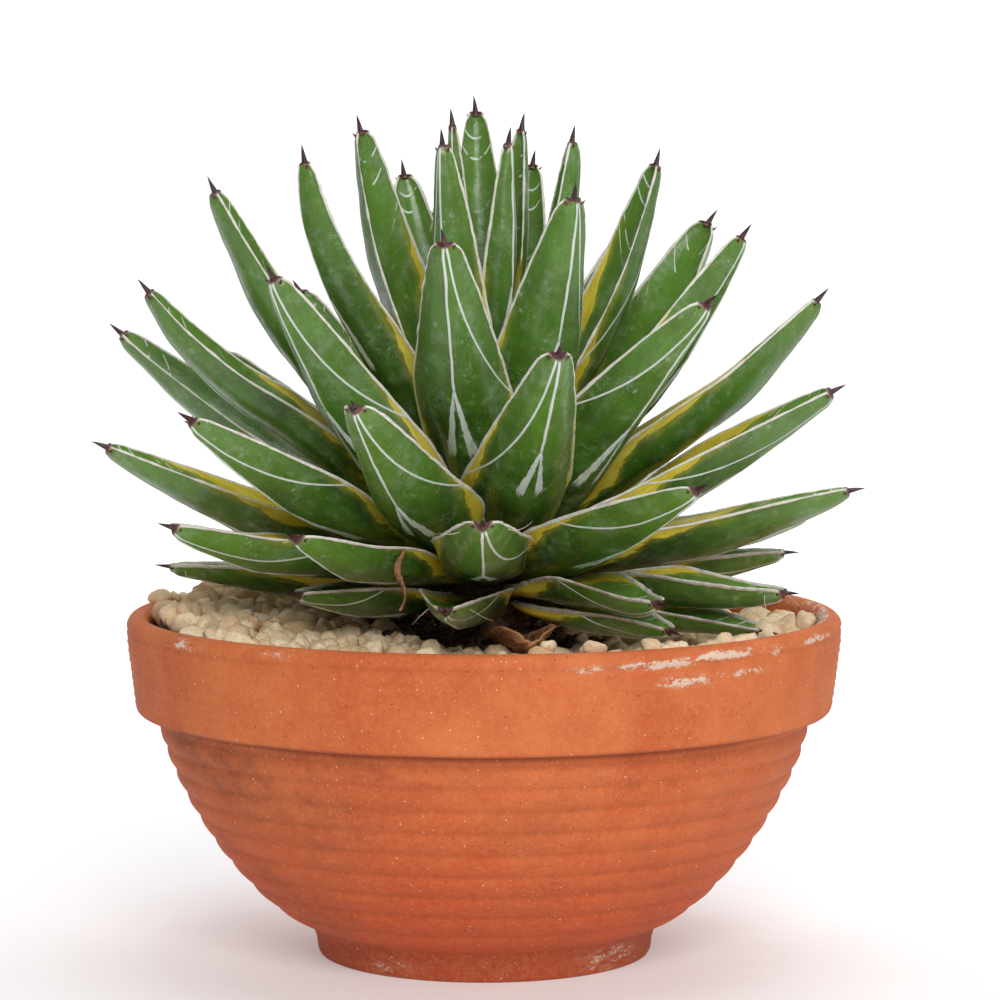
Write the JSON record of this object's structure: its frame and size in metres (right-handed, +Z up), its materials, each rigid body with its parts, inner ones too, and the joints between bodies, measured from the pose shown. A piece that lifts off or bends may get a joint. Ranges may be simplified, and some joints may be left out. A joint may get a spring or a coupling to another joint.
{
  "type": "potted agave",
  "caption": "Variegated agave rosette with stiff pointed leaves, planted in a footed terracotta bowl with a rolled collar rim and a pale gravel top dressing.",
  "frame": {"origin": "on the axis of the bowl, on the surface the bowl stands on", "axes": "+Z up along the axis of the bowl; -Y towards the viewer in front; +X to that viewer's right"},
  "size_m": [0.2889, 0.2815, 0.3245],
  "materials": {
    "terracotta": "matt unglazed fired clay",
    "soil": "dull crumbly potting mix",
    "gravel": "rough porous pumice",
    "stem": "matt bark",
    "leaf": "satin waxy skin with pale margins and yellow bands",
    "dry_growth": "matt shrivelled dry leaf"
  },
  "bodies": {
    "root": {"dry_leaf": "dry_growth", "gravel_layer": "gravel", "leaf_01": "leaf", "leaf_02": "leaf", "leaf_03": "leaf", "leaf_04": "leaf", "leaf_05": "leaf", "leaf_06": "leaf", "leaf_07": "leaf", "leaf_08": "leaf", "leaf_09": "leaf", "leaf_10": "leaf", "leaf_11": "leaf", "leaf_12": "leaf", "leaf_13": "leaf", "leaf_14": "leaf", "leaf_15": "leaf", "leaf_16": "leaf", "leaf_17": "leaf", "leaf_18": "leaf", "leaf_19": "leaf", "leaf_20": "leaf", "leaf_21": "leaf", "leaf_22": "leaf", "leaf_23": "leaf", "leaf_24": "leaf", "leaf_25": "leaf", "leaf_26": "leaf", "leaf_27": "leaf", "leaf_28": "leaf", "leaf_29": "leaf", "leaf_30": "leaf", "leaf_31": "leaf", "leaf_32": "leaf", "leaf_33": "leaf", "leaf_34": "leaf", "leaf_35": "leaf", "leaf_36": "leaf", "leaf_37": "leaf", "leaf_38": "leaf", "leaf_39": "leaf", "leaf_40": "leaf", "leaf_41": "leaf", "leaf_42": "leaf", "leaf_43": "leaf", "leaf_44": "leaf", "leaf_45": "leaf", "leaf_46": "leaf", "leaf_47": "leaf", "leaf_48": "leaf", "leaf_49": "leaf", "leaf_50": "leaf", "leaf_51": "leaf", "leaf_52": "leaf", "leaf_53": "leaf", "leaf_54": "leaf", "potting_soil": "soil", "stem": "stem", "terracotta_bowl": "terracotta"}
  },
  "joints": []
}
